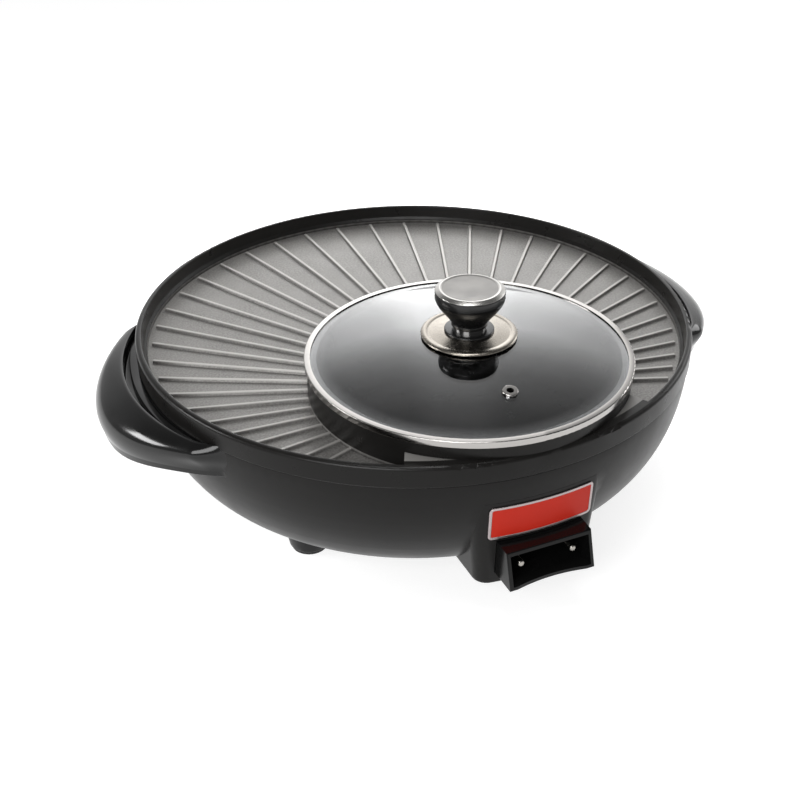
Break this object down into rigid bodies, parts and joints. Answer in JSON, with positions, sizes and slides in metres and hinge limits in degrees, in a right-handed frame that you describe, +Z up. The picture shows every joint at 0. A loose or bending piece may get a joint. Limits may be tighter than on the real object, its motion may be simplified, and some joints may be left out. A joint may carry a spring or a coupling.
{
  "type": "hot pot grill combo",
  "caption": "Round electric grill pan with radial ribs, an off-centre hot-pot well under a glass lid, and a bowl housing with crescent handles and a front socket.",
  "frame": {"origin": "middle of the footprint box at the ground, under the feet; the pan's axis is 7.25 mm behind it", "axes": "+Z up, +X along the two handles to the right, the socket faces -Y"},
  "size_m": [0.4676, 0.4142, 0.1845],
  "materials": {
    "nonstick_casting": "grey non-stick coating on cast aluminium, satin",
    "element_steel": "dull stainless tube",
    "zinc_plate": "bright zinc plate",
    "reflector_sheet": "mill finish sheet",
    "housing_plastic": "charcoal, soft sheen",
    "handle_bakelite": "black, polished moulding",
    "foot_bakelite": "black",
    "foot_rubber": "matt",
    "label_red": "bare red panel with a silver border",
    "guard_bakelite": "black, polished moulding",
    "block_phenolic": "black, matt",
    "pin_nickel": "nickel plated",
    "lead_insulation": "pale silicone sleeving",
    "lid_glass": "clear tempered glass with a grey tint",
    "lid_stainless": "polished stainless steel",
    "seal_silicone": "soft silicone",
    "knob_bakelite": "black, polished",
    "knob_chrome": "polished",
    "knob_cap_metal": "dark satin metal with a bright rim"
  },
  "bodies": {
    "base": {"pan": "nonstick_casting", "heating_element": "element_steel", "element_clips": "zinc_plate", "clip_screws": "zinc_plate", "reflector": "reflector_sheet", "tie_rods": "zinc_plate", "lower_spacers": "zinc_plate", "upper_spacers": "zinc_plate", "rod_washers": "zinc_plate", "rod_nuts": "zinc_plate", "housing": "housing_plastic", "bottom_cover": "reflector_sheet", "cover_screws": "zinc_plate", "left_handle": "handle_bakelite", "right_handle": "handle_bakelite", "handle_screws": "zinc_plate", "feet": "foot_bakelite", "foot_pads": "foot_rubber", "foot_screws": "zinc_plate", "foot_nuts": "zinc_plate", "label_plate": "label_red", "socket_guard": "guard_bakelite", "inlet_block": "block_phenolic", "inlet_pins": "pin_nickel", "probe_tube": "element_steel", "inlet_screws": "zinc_plate", "power_leads": "lead_insulation"},
    "lid": {"lid_glass": "lid_glass", "lid_ring": "lid_stainless", "steam_vent": "lid_stainless", "knob_gasket": "seal_silicone", "knob_skirt": "lid_stainless", "knob_base": "knob_bakelite", "knob_neck": "knob_chrome", "knob": "knob_bakelite", "knob_cap": "knob_cap_metal", "knob_screw": "zinc_plate", "screw_washer": "lid_stainless", "screw_seal": "seal_silicone"}
  },
  "joints": [
    {"name": "lid_lift", "type": "slide", "parent": "base", "child": "lid", "axis": [0, 0, 1], "range_m": [0, 0.15]}
  ]
}
